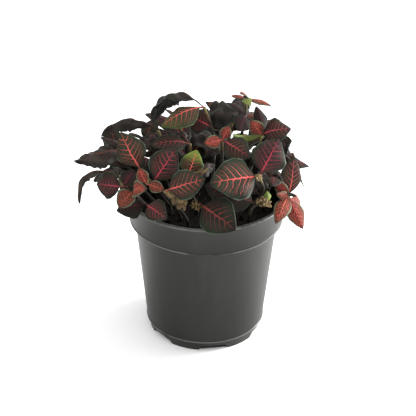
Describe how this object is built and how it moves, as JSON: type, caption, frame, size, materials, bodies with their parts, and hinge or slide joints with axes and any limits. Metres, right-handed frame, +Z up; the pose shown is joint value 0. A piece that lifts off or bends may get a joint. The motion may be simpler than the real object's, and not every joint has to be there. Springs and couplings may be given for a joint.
{
  "type": "potted nerve plant",
  "caption": "Small potted nerve plant: dark veined leaves on branching stems rise and spread from a tapered plastic nursery pot filled with potting mix.",
  "frame": {"origin": "middle of the plant's outline, on the surface that the pot stands on", "axes": "+Z up along the pot's axis, -Y towards the viewer of the picture, +X to that viewer's right"},
  "size_m": [0.147, 0.1366, 0.1671],
  "materials": {
    "pot_plastic": "satin",
    "potting_mix": "matte",
    "foliage": "matte"
  },
  "bodies": {
    "root": {"pot": "pot_plastic", "potting_mix": "potting_mix", "shoot_front": "foliage", "shoot_hidden_1": "foliage", "shoot_hidden_2": "foliage", "shoot_hidden_3": "foliage", "shoot_hidden_4": "foliage", "shoot_hidden_5": "foliage", "shoot_hidden_6": "foliage", "shoot_hidden_7": "foliage", "shoot_hidden_8": "foliage", "shoot_inner_back": "foliage", "shoot_inner_left": "foliage", "shoot_left": "foliage", "shoot_left_back": "foliage", "shoot_left_front": "foliage", "shoot_left_middle": "foliage", "shoot_left_top": "foliage", "shoot_left_upper": "foliage", "shoot_middle_left": "foliage", "shoot_right": "foliage", "shoot_right_back": "foliage", "shoot_right_front": "foliage", "shoot_right_low": "foliage", "shoot_right_top": "foliage", "shoot_top_left": "foliage", "shoot_top_middle": "foliage", "shoot_top_right": "foliage"}
  },
  "joints": []
}
